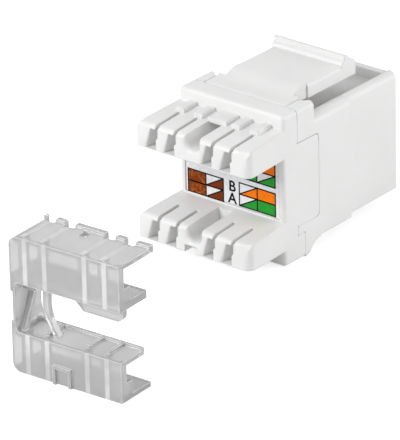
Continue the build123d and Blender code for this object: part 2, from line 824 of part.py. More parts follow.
    # Slanting stay inside the side wall
    with BuildSketch(cap_side.offset(cap_wall - fit)):
        with BuildLine():
            Polyline(
                (cap_wall, lower_tray_top - fit),
                (cap_wall + cap_stay_width, lower_tray_top - fit),
                (cap_stay_reach + cap_stay_width, upper_tray_bottom + fit),
                (cap_stay_reach, upper_tray_bottom + fit),
                close=True,
            )
        make_face()
    extrude(amount=cap_stay_thickness)

    # Web under the upper tray, arched over the cable
    with BuildSketch(cap_back.offset(-cap_web_setback)) as web_outline:
        web_right = cap_length - cap_wall
        web_bottom = upper_tray_bottom - cap_web_drop
        rectangle_between(cap_wall - fit, web_right, web_bottom, upper_tray_bottom + fit)
        fillet(web_outline.vertices().group_by(Axis.X)[-1].sort_by(Axis.Y)[0], cap_web_round)
        with Locations((cap_web_arch_x, upper_tray_bottom - cap_web_arch)):
            Circle(cap_web_arch - fit, mode=Mode.SUBTRACT)
    extrude(amount=-cap_web_thickness)

    # Raised frame low on the back, where a tool lifts the cap off
    with BuildSketch(cap_back) as lift_frame:
        frame_left = cap_middle - cap_frame_width / 2
        rectangle_between(frame_left, frame_left + cap_frame_width, 0, cap_frame_height)
        with BuildSketch(mode=Mode.SUBTRACT):
            inner_right = frame_left + cap_frame_width - cap_frame_bar
            rectangle_between(frame_left + cap_frame_bar, inner_right, -fit, cap_frame_height - cap_frame_bar)
    extrude(amount=cap_frame_proud)

dust_cap.part.label = "dust_cap"
export_step(dust_cap.part, "parts/dust_cap.step")
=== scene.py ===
"""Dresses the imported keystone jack.

It has moulded white plastic, a clear dust cap, a printed wiring label and plated contacts.
"""
import math

import bmesh
import bpy
from bpy.props import FloatProperty, FloatVectorProperty, PointerProperty
from bpy.types import Operator, Panel, PropertyGroup
from mathutils import Matrix, Vector


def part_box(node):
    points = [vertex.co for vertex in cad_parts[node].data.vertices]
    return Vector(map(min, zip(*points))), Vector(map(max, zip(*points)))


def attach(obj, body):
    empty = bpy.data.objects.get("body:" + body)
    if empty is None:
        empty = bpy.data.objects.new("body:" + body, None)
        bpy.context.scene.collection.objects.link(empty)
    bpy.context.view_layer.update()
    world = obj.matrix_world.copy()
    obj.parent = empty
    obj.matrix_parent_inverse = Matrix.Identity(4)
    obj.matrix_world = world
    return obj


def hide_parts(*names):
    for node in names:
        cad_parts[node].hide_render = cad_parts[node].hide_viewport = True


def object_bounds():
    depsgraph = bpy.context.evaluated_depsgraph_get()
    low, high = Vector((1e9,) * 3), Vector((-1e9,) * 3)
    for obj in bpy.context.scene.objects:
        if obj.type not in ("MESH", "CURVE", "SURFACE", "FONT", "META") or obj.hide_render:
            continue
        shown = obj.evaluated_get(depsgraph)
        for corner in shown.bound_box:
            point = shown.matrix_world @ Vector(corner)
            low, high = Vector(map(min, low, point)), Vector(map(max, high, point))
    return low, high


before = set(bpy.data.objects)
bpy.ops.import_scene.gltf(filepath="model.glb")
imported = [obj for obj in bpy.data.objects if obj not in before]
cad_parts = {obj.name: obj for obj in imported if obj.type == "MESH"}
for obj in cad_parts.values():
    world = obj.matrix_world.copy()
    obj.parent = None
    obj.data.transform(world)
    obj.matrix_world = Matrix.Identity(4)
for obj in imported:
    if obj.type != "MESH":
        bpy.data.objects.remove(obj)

bl_info = {
    "name": "Keystone jack",
    "version": (1, 0, 0),
    "blender": (4, 5, 0),
    "location": "View3D > Sidebar > Keystone jack",
    "description": "Finishes, towers, label print, stage and camera of a keystone jack with its dust cap",
    "category": "Object",
}

MM = 0.001
CAD_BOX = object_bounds()
HOUSING_NODES = ("front_housing", "latch_plate")
WIRE_NODES = [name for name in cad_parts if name.startswith("contact_wire")]
BLADE_NODES = [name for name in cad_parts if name.startswith("idc_blade")]
# Points of a shape that are this near each other become one
WELD = 0.0005 * MM
# Edges that turn by more than this stay sharp, in degrees
SHARP_ANGLE = 32.0
WHITE = (1.0, 1.0, 1.0, 1.0)


class Value:
    """A socket's value. Sums on it add Math nodes to its tree."""

    def __init__(self, finish, socket):
        self.finish = finish
        self.socket = socket

    def maths(self, operation, first, second=0.0):
        """The result of a Math node."""
        return self.finish.node("ShaderNodeMath", {"operation": operation}, {0: first, 1: second})

    def __add__(self, other):
        return self.maths("ADD", self, other)

    def __mul__(self, other):
        return self.maths("MULTIPLY", self, other)

    def __sub__(self, other):
        return self.maths("SUBTRACT", self, other)

    def __rsub__(self, other):
        return self.maths("SUBTRACT", other, self)

    def without_sign(self):
        return self.maths("ABSOLUTE", self)

    def or_mask(self, other):
        """The larger of two masks."""
        return self.maths("MAXIMUM", self, other)

    def over(self, low, high):
        """0 below low and 1 above high, with a smooth step between."""
        settings = {"interpolation_type": "SMOOTHSTEP"}
        sockets = {"Value": self, "From Min": low, "From Max": high}
        return self.finish.node("ShaderNodeMapRange", settings, sockets)

    def past(self, span):
        """0 before a span of millimetres and 1 after it, with a smooth step between."""
        low, high = span
        return self.over(low * MM, high * MM)

    def around(self, middle, spread):
        """A pattern between 0 and 1 as a value that wavers round a middle."""
        return self * spread + (middle - spread / 2)


class Finish:
    """The node tree of one material, or of the world."""

    def __init__(self, name, kept_in=None):
        owners = bpy.data.materials if kept_in is None else kept_in
        self.owner = owners.new(name)
        self.owner.use_nodes = True
        self.tree = self.owner.node_tree
        self.tree.nodes.clear()

    def node(self, kind, settings=None, sockets=None, out=0):
        """Adds a node, sets its settings, then the values or links of its sockets, and gives its output."""
        node = self.tree.nodes.new(kind)
        for name, value in (settings or {}).items():
            setattr(node, name, value)
        for name, value in (sockets or {}).items():
            if isinstance(value, Value):
                self.tree.links.new(value.socket, node.inputs[name])
            else:
                node.inputs[name].default_value = value
        return Value(self, node.outputs[out]) if len(node.outputs) else None

    def place(self):
        """Where a point lies in the object's own frame, in metres."""
        return self.node("ShaderNodeTexCoord", out="Object")

    def noise(self, scale, detail=3.0, roughness=0.5):
        """Cloudy pattern with that many features to a metre."""
        sockets = {"Vector": self.place(), "Scale": scale, "Detail": detail, "Roughness": roughness}
        return self.node("ShaderNodeTexNoise", None, sockets)

    def mottled(self, pattern, span, first, second):
        """A colour that goes over into a second one where a pattern passes through a span."""
        # A colour mix has its factor in socket 0, its colours in 6 and 7 and its result in output 2
        sockets = {0: pattern.over(*span), 6: tuple(first), 7: tuple(second)}
        return self.node("ShaderNodeMix", {"data_type": "RGBA"}, sockets, out=2)

    def dot(self, first, second):
        """The dot product of two vectors."""
        settings = {"operation": "DOT_PRODUCT"}
        return self.node("ShaderNodeVectorMath", settings, {0: first, 1: second}, out="Value")

    def rounded(self, radius):
        """Normal with every edge softened to that radius, in metres."""
        return self.node("ShaderNodeBevel", {"samples": 8}, {"Radius": radius})

    def bump(self, height, strength, distance, normal=None):
        """Normal that follows a height pattern."""
        sockets = {"Height": height, "Strength": strength, "Distance": distance}
        if normal:
            sockets["Normal"] = normal
        return self.node("ShaderNodeBump", None, sockets)

    def edges(self, radius, sharpness=0.06):
        """1 along every edge, fading out over that radius, in metres."""
        flat = self.node("ShaderNodeNewGeometry", out="Normal")
        return 1.0 - self.dot(self.rounded(radius), flat).over(1.0 - sharpness, 1.0)

    def shader(self, **sockets):
        """A Principled shader with these sockets."""
        named = {name.replace("_", " "): value for name, value in sockets.items()}
        return self.node("ShaderNodeBsdfPrincipled", None, named)

    def blend(self, factor, first, second):
        """A shader between two shaders."""
        return self.node("ShaderNodeMixShader", None, {0: factor, 1: first, 2: second})

    def close(self, shader):
        """Ends a material's tree in this shader, and gives the material."""
        self.node("ShaderNodeOutputMaterial", None, {"Surface": shader})
        return self.owner

    def surface(self, **sockets):
        """Ends the tree in a Principled shader with these sockets, and gives the material."""
        return self.close(self.shader(**sockets))


def shaded(colour, factor):
    """A colour made darker or lighter by a factor."""
    return tuple(factor * part for part in colour[:3]) + (1.0,)


def print_finish(name, colour, patches=None):
    """Ink on film: a flat printed colour with a trace of mottle, or with patches of a second colour."""
    finish = Finish(name)
    mottle = finish.noise(2600.0)
    return finish.surface(
        Base_Color=finish.mottled(mottle, (0.42, 0.75), colour, patches or shaded(colour, 0.86)),
        Roughness=mottle.around(0.55, 0.1),
        Normal=finish.bump(mottle, 0.1, 0.003 * MM),
        Specular_IOR_Level=0.12,
    )


def paint(nodes, material):
    """Gives CAD nodes a material in place of their plain one."""
    for name in nodes:
        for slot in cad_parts[name].material_slots:
            slot.material = material


def new_piece(name, mesh, body, material):
    """Adds a mesh as a named piece that rides on a body."""
    piece = bpy.data.objects.new(name, mesh)
    bpy.context.scene.collection.objects.link(piece)
    piece.data.materials.append(material)
    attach(piece, body)
    return piece


def arc(centre, radius, first, last, steps):
    """Points of an arc from one angle to another, with both ends."""
    angles = [first + (last - first) * step / steps for step in range(steps + 1)]
    return [(centre[0] + radius * math.cos(angle), centre[1] + radius * math.sin(angle)) for angle in angles]


def set_back(radius, distance):
    """How far a rounded edge of that radius lies behind its face, at a distance from the edge's end."""
    reach = max(radius - distance, 0.0)
    return radius - math.sqrt(max(radius ** 2 - reach ** 2, 0.0))


def skin(mesh, rings):
    """Adds a closed solid through rings of points, each with as many points, in millimetres."""
    levels = [[mesh.verts.new(Vector(point) * MM) for point in ring] for ring in rings]
    for first, second in zip(levels, levels[1:]):
        for i, corner in enumerate(first):
            j = (i + 1) % len(first)
            mesh.faces.new((corner, first[j], second[j], second[i]))
    mesh.faces.new(list(reversed(levels[0])))
    mesh.faces.new(levels[-1])


def prism(mesh, corners, low, high, material_index):
    """Adds a closed flat prism to a mesh in progress: corners in X and Z, from low to high along -Y."""
    rear = [mesh.verts.new((x, -high, z)) for x, z in corners]
    front = [mesh.verts.new((x, -low, z)) for x, z in corners]
    faces = [mesh.faces.new(rear), mesh.faces.new(list(reversed(front)))]
    for i in range(len(corners)):
        j = (i + 1) % len(corners)
        faces.append(mesh.faces.new((rear[j], rear[i], front[i], front[j])))
    for face in faces:
        face.material_index = material_index


def stroke(start, end, width):
    """Corners of a straight line of that width, with its ends drawn past by half of it."""
    along = (Vector(end) - Vector(start)).normalized() * (width / 2)
    across = Vector((-along.y, along.x))
    first = Vector(start) - along
    last = Vector(end) + along
    return [first - across, last - across, last + across, first + across]


def copy_of_node(name):
    """The welded shape of a CAD node, as new mesh data."""
    mesh = bmesh.new()
    mesh.from_mesh(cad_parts[name].data)
    bmesh.ops.remove_doubles(mesh, verts=mesh.verts, dist=WELD)
    data = bpy.data.meshes.new(f"{name}_shape")
    mesh.to_mesh(data)
    mesh.free()
    return data


def cut_or_join(data, mesh, operation):
    """Cuts the solids of a mesh in progress from a piece's shape, or joins them to it."""
    bmesh.ops.remove_doubles(mesh, verts=mesh.verts, dist=WELD)
    bmesh.ops.triangulate(mesh, faces=mesh.faces)
    bmesh.ops.recalc_face_normals(mesh, faces=mesh.faces)
    tool_data = bpy.data.meshes.new("tool")
    mesh.to_mesh(tool_data)
    mesh.free()
    body = bpy.data.objects.new("body", data)
    tool = bpy.data.objects.new("tool", tool_data)
    for holder in (body, tool):
        bpy.context.scene.collection.objects.link(holder)
    modifier = body.modifiers.new("boolean", "BOOLEAN")
    modifier.operation = operation
    modifier.solver = "EXACT"
    modifier.object = tool
    bpy.context.view_layer.update()
    result = bpy.data.meshes.new_from_object(body.evaluated_get(bpy.context.evaluated_depsgraph_get()))
    for holder in (body, tool):
        bpy.data.objects.remove(holder)
    return result


def finish_shape(data):
    """Shades a shape smooth between its sharp edges, and makes sure that it is closed."""
    if "custom_normal" in data.attributes:
        data.attributes.remove(data.attributes["custom_normal"])
    data.materials.clear()
    data.shade_smooth()
    data.set_sharp_from_angle(angle=math.radians(SHARP_ANGLE))
    mesh = bmesh.new()
    mesh.from_mesh(data)
    open_edges = sum(1 for edge in mesh.edges if len(edge.link_faces) != 2)
    mesh.free()
    if open_edges:
        raise RuntimeError(f"{data.name} has {open_edges} open edges")


def colour_setting(name, description, red, green, blue):
    """A colour among the scene's settings."""
    return FloatVectorProperty(
        name=name, description=description, subtype="COLOR", size=4, min=0, max=1,
        default=(red, green, blue, 1.0))


def length_setting(name, description, millimetres):
    """A length among the scene's settings."""
    return FloatProperty(name=name, description=description, default=millimetres * MM, min=0, unit="LENGTH")


def share_setting(name, description, share):
    """A share between 0 and 1 among the scene's settings."""
    return FloatProperty(name=name, description=description, default=share, min=0, max=1, subtype="FACTOR")


class MouldedPlastic(PropertyGroup):
    """Finish of the white housings and the latch."""

    colour: colour_setting("Colour", "Colour of the moulded plastic", 0.82, 0.82, 0.815)
    roughness: share_setting("Roughness", "How matt the moulded surface is", 0.42)
    edge_radius: length_setting("Edge radius", "Radius that the mould leaves on every edge", 0.18)
    grain: length_setting("Grain", "Depth of the fine spark-eroded grain", 0.004)


class TowerShape(PropertyGroup):
    """Entries, sills and teeth of the punch-down towers, and the bulge of each row's left tower."""

    scoop_low_width: length_setting("Scoop width below", "Width of each entry at its floor", 1.95)
    scoop_low_depth: length_setting("Scoop depth below", "Depth of each entry at its floor", 2.8)
    scoop_high_width: length_setting("Scoop width above", "Width of each entry at its upper end", 1.05)
    scoop_high_depth: length_setting("Scoop depth above", "Depth of each entry at its upper end", 1.9)
    scoop_height: length_setting("Scoop height", "Height of each entry", 2.6)
    scoop_radius: length_setting("Scoop radius", "Radius of each entry's hollow wall", 3.2)
    sill_height: length_setting("Sill height", "Height of the sill right of each slit", 1.7)
    sill_reach: length_setting("Sill reach", "How far each sill reaches over its slit", 0.42)
    tooth_height: length_setting("Tooth height", "Height of one tooth above the sill", 0.4)
    tooth_depth: length_setting("Tooth depth", "How far each tooth reaches over its slit", 0.22)
    bulge_width: length_setting("Bulge width", "How far each left tower stands out beyond the body", 1.0)
    bulge_length: length_setting("Bulge length", "Length of the bulge from the tower's tip", 3.0)
    bulge_height: length_setting("Bulge height", "Height up to which the bulge is full", 1.65)


class ClearPlastic(PropertyGroup):
    """Finish and place of the dust cap."""

    colour: colour_setting("Tint", "What each surface lets through", 0.66, 0.66, 0.665)
    # Painted highlight: along the edges and over each rib, a whitish, less clear shader stands in for light
    # that the clear plastic gathers there. The highlight settings are its colour, frosting and clearness
    highlight_colour: colour_setting("Edge colour", "Light that the edges gather", 0.93, 0.93, 0.93)
    roughness: share_setting("Roughness", "How frosted the clear plastic is", 0.12)
    highlight_roughness: share_setting("Edge roughness", "How frosted the edges are", 0.25)
    clearness: share_setting("Clearness", "Share of the light that goes straight through", 0.55)
    highlight_clearness: share_setting("Edge clearness", "The same share at the edges", 0.3)
    index: FloatProperty(
        name="Index", description="Refractive index of the clear plastic", default=1.58, min=1, max=2)
    corner: FloatVectorProperty(
        name="Corner", description="Lower left rear corner of the dust cap", size=3, unit="LENGTH",
        default=(-0.1 * MM, -63.0 * MM, -9.65 * MM))
    turn: FloatProperty(name="Turn", description="How far the dust cap is turned, in degrees", default=3.2)


class WiringPrint(PropertyGroup):
    """Colours and sizes of the printed wiring label."""

    brown: colour_setting("Brown", "Brown pair", 0.195, 0.031, 0.001)
    brown_patches: colour_setting(
        "Brown patches", "Lighter patches in the plain brown cells", 0.46, 0.13, 0.012)
    orange: colour_setting("Orange", "Orange pair", 1.0, 0.21, 0.002)
    green: colour_setting("Green", "Green pair", 0.021, 0.338, 0.033)
    blue: colour_setting("Blue", "Blue pair", 0.02, 0.10, 0.50)
    ink: colour_setting("Ink", "Outlines and letters", 0.004, 0.004, 0.0045)
    paper: colour_setting("Paper", "White of the label", 0.86, 0.87, 0.89)
    row_height: length_setting("Row height", "Height of one row of colour fields", 1.5)
    line_width: length_setting("Line width", "Width of the black outlines", 0.17)
    letter_height: length_setting("Letter height", "Height of the letters A and B", 1.36)
    film: length_setting("Film", "Thickness of the print", 0.012)


class Plating(PropertyGroup):
    """Metals and laminate inside the jack."""

    gold: colour_setting("Gold", "Plating of the contact wires", 0.93, 0.66, 0.24)
    tin: colour_setting("Tin", "Plating of the blades", 0.62, 0.61, 0.58)
    lacquer: colour_setting("Lacquer", "Lacquer of the circuit board", 0.012, 0.09, 0.03)
    carrier: colour_setting("Carrier", "Block that carries the wires", 0.70, 0.70, 0.67)
    carrier_shade: colour_setting("Carrier shade", "Darker parts of the block", 0.64, 0.64, 0.61)


class Studio(PropertyGroup):
    """Lights and camera."""

    azimuth: FloatProperty(
        name="Azimuth", description="Turn of the camera round the jack, in degrees", default=39.70)
    elevation: FloatProperty(
        name="Elevation", description="Height of the camera above the horizon, in degrees", default=24.885)
    roll: FloatProperty(name="Roll", description="Roll of the camera, in degrees", default=-1.256)
    distance: FloatProperty(
        name="Distance", description="Distance of the camera", default=596.404 * MM, unit="LENGTH")
    focal_length: FloatProperty(
        name="Focal length", description="Focal length, in millimetres on the sensor", default=438.62)
    target: FloatVectorProperty(
        name="Target", description="Point that the camera looks at", size=3, unit="LENGTH",
        default=(-9.198 * MM, -17.9 * MM, -9.98 * MM))
    sky: FloatProperty(name="Sky", description="Strength of the light from all round", default=0.53, min=0)
    key: FloatProperty(
        name="Key", description="Power of the soft box behind the jack, in watts", default=1.48, min=0)
    side: FloatProperty(
        name="Side", description="Power of the soft box on the right, in watts", default=1.08, min=0)
    overhead: FloatProperty(
        name="Overhead", description="Power of the soft box above, in watts", default=0.05, min=0)


class JACK_OT_housings(Operator):
    """Moulded white plastic for the two housings and the latch, and the shape of the towers"""

    bl_idname = "jack.housings"
    bl_label = "Housings and latch"

    # Every length here is in millimetres. Tower rows: undersides, places and half the width of the
    # slits, floor of the entries over the underside, outer side of the body, height at the tip and at
    # the body, length, radius of the rounded crown, and the steps of every arc and curve
    row_bottoms = (4.45, -7.55)
    slit_places = (-5.65, -2.85, 2.85, 5.65)
    half_slit = 0.25
    row_floor = 0.15
    outer_side = 8.0
    tip_height = 3.30
    row_height = 3.75
    row_length = 7.0
    crown = 0.7
    arc_steps = 8
    # What the added solids stay inside the tower's faces, what the cutters pass them by, and how high
    # the cutters reach over a row's underside
    inside = 0.02
    beyond = 0.3
    cutter_top = 4.2
    # Bulge of the left towers: radius of its front corner, where it starts to fade, how far its side
    # bows out above its full height, how deep it starts in the body, and where its outlines lie
    bulge_corner = 0.5
    bulge_straight = 1.0
    bulge_bow = 0.95
    bulge_root = 1.1
    bulge_outlines = (0.06, 0.13, 0.22, 0.35, 0.5, 0.7, bulge_straight, 1.5, 2.0, 2.5)
    # Entries: radius of the soft edge left of each at its floor and at its upper end
    scoop_edges = (0.45, 0.15)
    edge_steps = 5
    # Lean of the right towers: from and to in X, how far back at the start and how much more at the
    # end, and the powers by which it grows across and up the front
    lean_span = (6.0, 8.7)
    lean_back = (0.03, 1.9)
    lean_powers = (1.3, 1.7)
    # Channel between the middle fingers: left and right side, floor at the tip, the floor's fall over
    # a millimetre and the radius of the lower corners
    channel_sides = (-1.25, 0.85)
    channel_floor = 1.5
    channel_fall = 0.077
    channel_corner = 1.0
    channel_steps = 6
    # Mouth of the channel: places behind the tip with how much wider and deeper it is there, and the
    # share of the widening that the right side has
    mouth_flare = (
        (-beyond, 0.45, 0.42), (0.0, 0.40, 0.38), (0.07, 0.26, 0.25), (0.18, 0.16, 0.15),
        (0.35, 0.07, 0.06), (0.55, 0.02, 0.01), (0.8, -0.02, -0.02),
    )
    right_flare = 0.3
    # Sills: number of teeth, length, and how deep they start in the finger
    teeth = 3
    sill_length = 1.2
    sill_root = 0.1
    # Strips that leave the seams of the sides as shallow grooves: from and to in Y, from and to in Z,
    # and from where to where they reach on either side
    seams = (
        (-20.40, -20.15, 5.80, 8.60),
        (-16.30, -16.05, -4.60, 4.60),
        (-20.05, -16.80, -5.30, -5.05),
        (-20.40, -20.15, -6.20, -5.35),
        (-20.10, -19.15, -6.50, -6.26),
        (-19.10, -18.86, -9.30, -6.55),
    )
    seam_sides = (7.30, 7.985)

    def execute(self, context):
        size = context.scene.moulded_plastic
        finish = Finish("white_plastic")
        cloud = finish.noise(160.0)
        grain = finish.noise(9000.0, detail=2.0)
        material = finish.surface(
            Base_Color=finish.mottled(cloud, (0.35, 0.75), size.colour, shaded(size.colour, 0.975)),
            Roughness=cloud.around(size.roughness, 0.08),
            Normal=finish.bump(grain, 0.25, size.grain, finish.rounded(size.edge_radius)),
            IOR=1.5,
            Subsurface_Weight=0.08,
            Subsurface_Scale=0.6 * MM,
        )
        paint(HOUSING_NODES, material)
        self.shape_rear_housing(context, material)
        return {"FINISHED"}

    def shape_rear_housing(self, context, material):
        """The rear housing with hollow entries, high sills and teeth, and a bulge on each left tower."""
        size = context.scene.tower_shape
        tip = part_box("rear_housing")[0].y / MM
        data = copy_of_node("rear_housing")
        for operation, draw in (("UNION", self.bulge), ("DIFFERENCE", self.cutters), ("UNION", self.sills)):
            mesh = bmesh.new()
            for bottom in self.row_bottoms:
                draw(mesh, size, tip, bottom)
            data = cut_or_join(data, mesh, operation)
        mesh = bmesh.new()
        for side in (-1, 1):
            for rear, front, low, high in self.seams:
                corners = ((rear, low), (front, low), (front, high), (rear, high))
                skin(mesh, [[(side * x, y, z) for y, z in corners] for x in self.seam_sides])
        data = cut_or_join(data, mesh, "UNION")
        finish_shape(data)
        piece = new_piece("rear_housing_towers", data, "jack", material)
        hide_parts("rear_housing")

    def crown_height(self, ahead):
        """Height of a tower's top over its underside, at a distance from its tip."""
        slope = (self.row_height - self.tip_height) * ahead / self.row_length
        return self.tip_height + slope - set_back(self.crown, ahead)

    def bulge(self, mesh, size, tip, bottom):
        """The left tower's outer side, which stands out at the tip and leans in above."""
        width, length, full = (value / MM for value in (size.bulge_width, size.bulge_length, size.bulge_height))
        outer, inner = -self.outer_side - width, -self.outer_side + self.bulge_root
        profile = [(outer, self.inside), (outer, full)]
        for step in range(1, self.arc_steps + 1):
            t = step / self.arc_steps
            x = outer * (1 - t ** 2) - self.outer_side * t ** 2
            z = full * (1 - t) ** 2 + 2 * (full + self.bulge_bow) * t * (1 - t) + self.row_height * t ** 2
            profile.append((x, z))
        rings = []
        for ahead in (self.inside, *self.bulge_outlines, length):
            fade = max(ahead - self.bulge_straight, 0.0) / (length - self.bulge_straight)
            left = outer + set_back(self.bulge_corner, ahead) + width * fade
            top = self.crown_height(ahead) - self.inside
            ring = [(max(x, left), tip + ahead, bottom + min(z, top)) for x, z in profile]
            ring += [(inner, tip + ahead, bottom + top), (inner, tip + ahead, bottom + self.inside)]
            rings.append(ring)
        skin(mesh, rings)

    def cutters(self, mesh, size, tip, bottom):
        """Everything that is cut from a row."""
        self.scoops(mesh, size, tip, bottom)
        self.lean(mesh, size, tip, bottom)
        self.mouth(mesh, tip, bottom)

    def scoops(self, mesh, size, tip, bottom):
        """Cutters of the hollow entries left of the slits."""
        floor = bottom + self.row_floor - 2 * self.inside
        low_edge, high_edge = self.scoop_edges
        levels = (
            (floor, size.scoop_low_width, size.scoop_low_depth, low_edge),
            (floor + size.scoop_height / MM, size.scoop_high_width, size.scoop_high_depth, high_edge),
        )
        for place in self.slit_places:
            rings = []
            for level, width, depth, soft in levels:
                start = Vector((place - width / MM + soft / 2, tip + soft))
                end = Vector((place - self.half_slit, tip + depth / MM))
                centre = (start.x - soft, start.y)
                outline = [(centre[0], tip - self.beyond)]
                outline += arc(centre, soft, -math.pi / 2, 0.0, self.edge_steps)[:-1]
                outline += self.hollow(start, end, size.scoop_radius / MM)
                outline += [(place, end.y), (place, tip - self.beyond)]
                rings.append([(x, y, level) for x, y in outline])
            skin(mesh, rings)

    def hollow(self, start, end, radius):
        """Points of an arc from the tip to the slit that bows to the left."""
        chord = end - start
        along = chord.normalized()
        aside = math.sqrt(radius ** 2 - chord.length_squared / 4)
        centre = (start + end) / 2 + Vector((along.y, -along.x)) * aside
        first, last = (math.atan2(point.y - centre.y, point.x - centre.x) for point in (start, end))
        if first < 0:
            first += 2 * math.pi
        return arc(centre, radius, first, last, self.arc_steps)

    def lean(self, mesh, size, tip, bottom):
        """A cutter that lets the front of the right tower lean back towards its outer corner."""
        start = size.bulge_height / MM
        first, last = self.lean_span
        least, more = self.lean_back
        across_power, up_power = self.lean_powers
        rings = []
        for number in range(self.arc_steps + 1):
            across = number / self.arc_steps
            reach = least + more * across ** across_power
            line = []
            for step in range(self.arc_steps + 1):
                up = step / self.arc_steps
                face = tip - self.inside + (reach + self.inside) * up ** up_power
                line.append((face, start + (self.cutter_top - start) * up))
            line += [(tip - self.beyond, self.cutter_top), (tip - self.beyond, start)]
            rings.append([(first + (last - first) * across, y, bottom + z) for y, z in line])
        skin(mesh, rings)

    def mouth(self, mesh, tip, bottom):
        """A cutter that rounds the front end of the channel between the middle fingers."""
        radius = self.channel_corner
        rings = []
        for ahead, wider, deeper in self.mouth_flare:
            left = self.channel_sides[0] - wider
            right = self.channel_sides[1] + wider * self.right_flare
            low = self.channel_floor - self.channel_fall * ahead - deeper
            outline = [(left, self.cutter_top)]
            outline += arc((left + radius, low + radius), radius, math.pi, 1.5 * math.pi, self.channel_steps)
            outline += arc((right - radius, low + radius), radius, -math.pi / 2, 0.0, self.channel_steps)
            outline.append((right, self.cutter_top))
            rings.append([(x, tip + ahead, bottom + z) for x, z in outline])
        skin(mesh, rings)

    def sills(self, mesh, size, tip, bottom):
        """The sill and the teeth on the right of each slit."""
        reach, top = size.sill_reach / MM, self.row_floor + size.sill_height / MM
        tooth, depth = size.tooth_height / MM, size.tooth_depth / MM
        for place in self.slit_places:
            edge = place + self.half_slit
            root = edge + self.sill_root
            outline = [(edge - reach, self.inside), (edge - reach, top - reach), (edge, top)]
            for number in range(self.teeth):
                outline.append((edge - depth, top + (number + 0.5) * tooth))
                outline.append((edge, top + (number + 1) * tooth))
            outline += [(root, top + self.teeth * tooth), (root, self.inside)]
            front = []
            for x, z in outline:
                behind = set_back(self.crown, self.tip_height - z)
                front.append((x, tip + self.inside + behind, bottom + z))
            rear = [(x, tip + self.sill_length, bottom + z) for x, z in outline]
            skin(mesh, [front, rear])


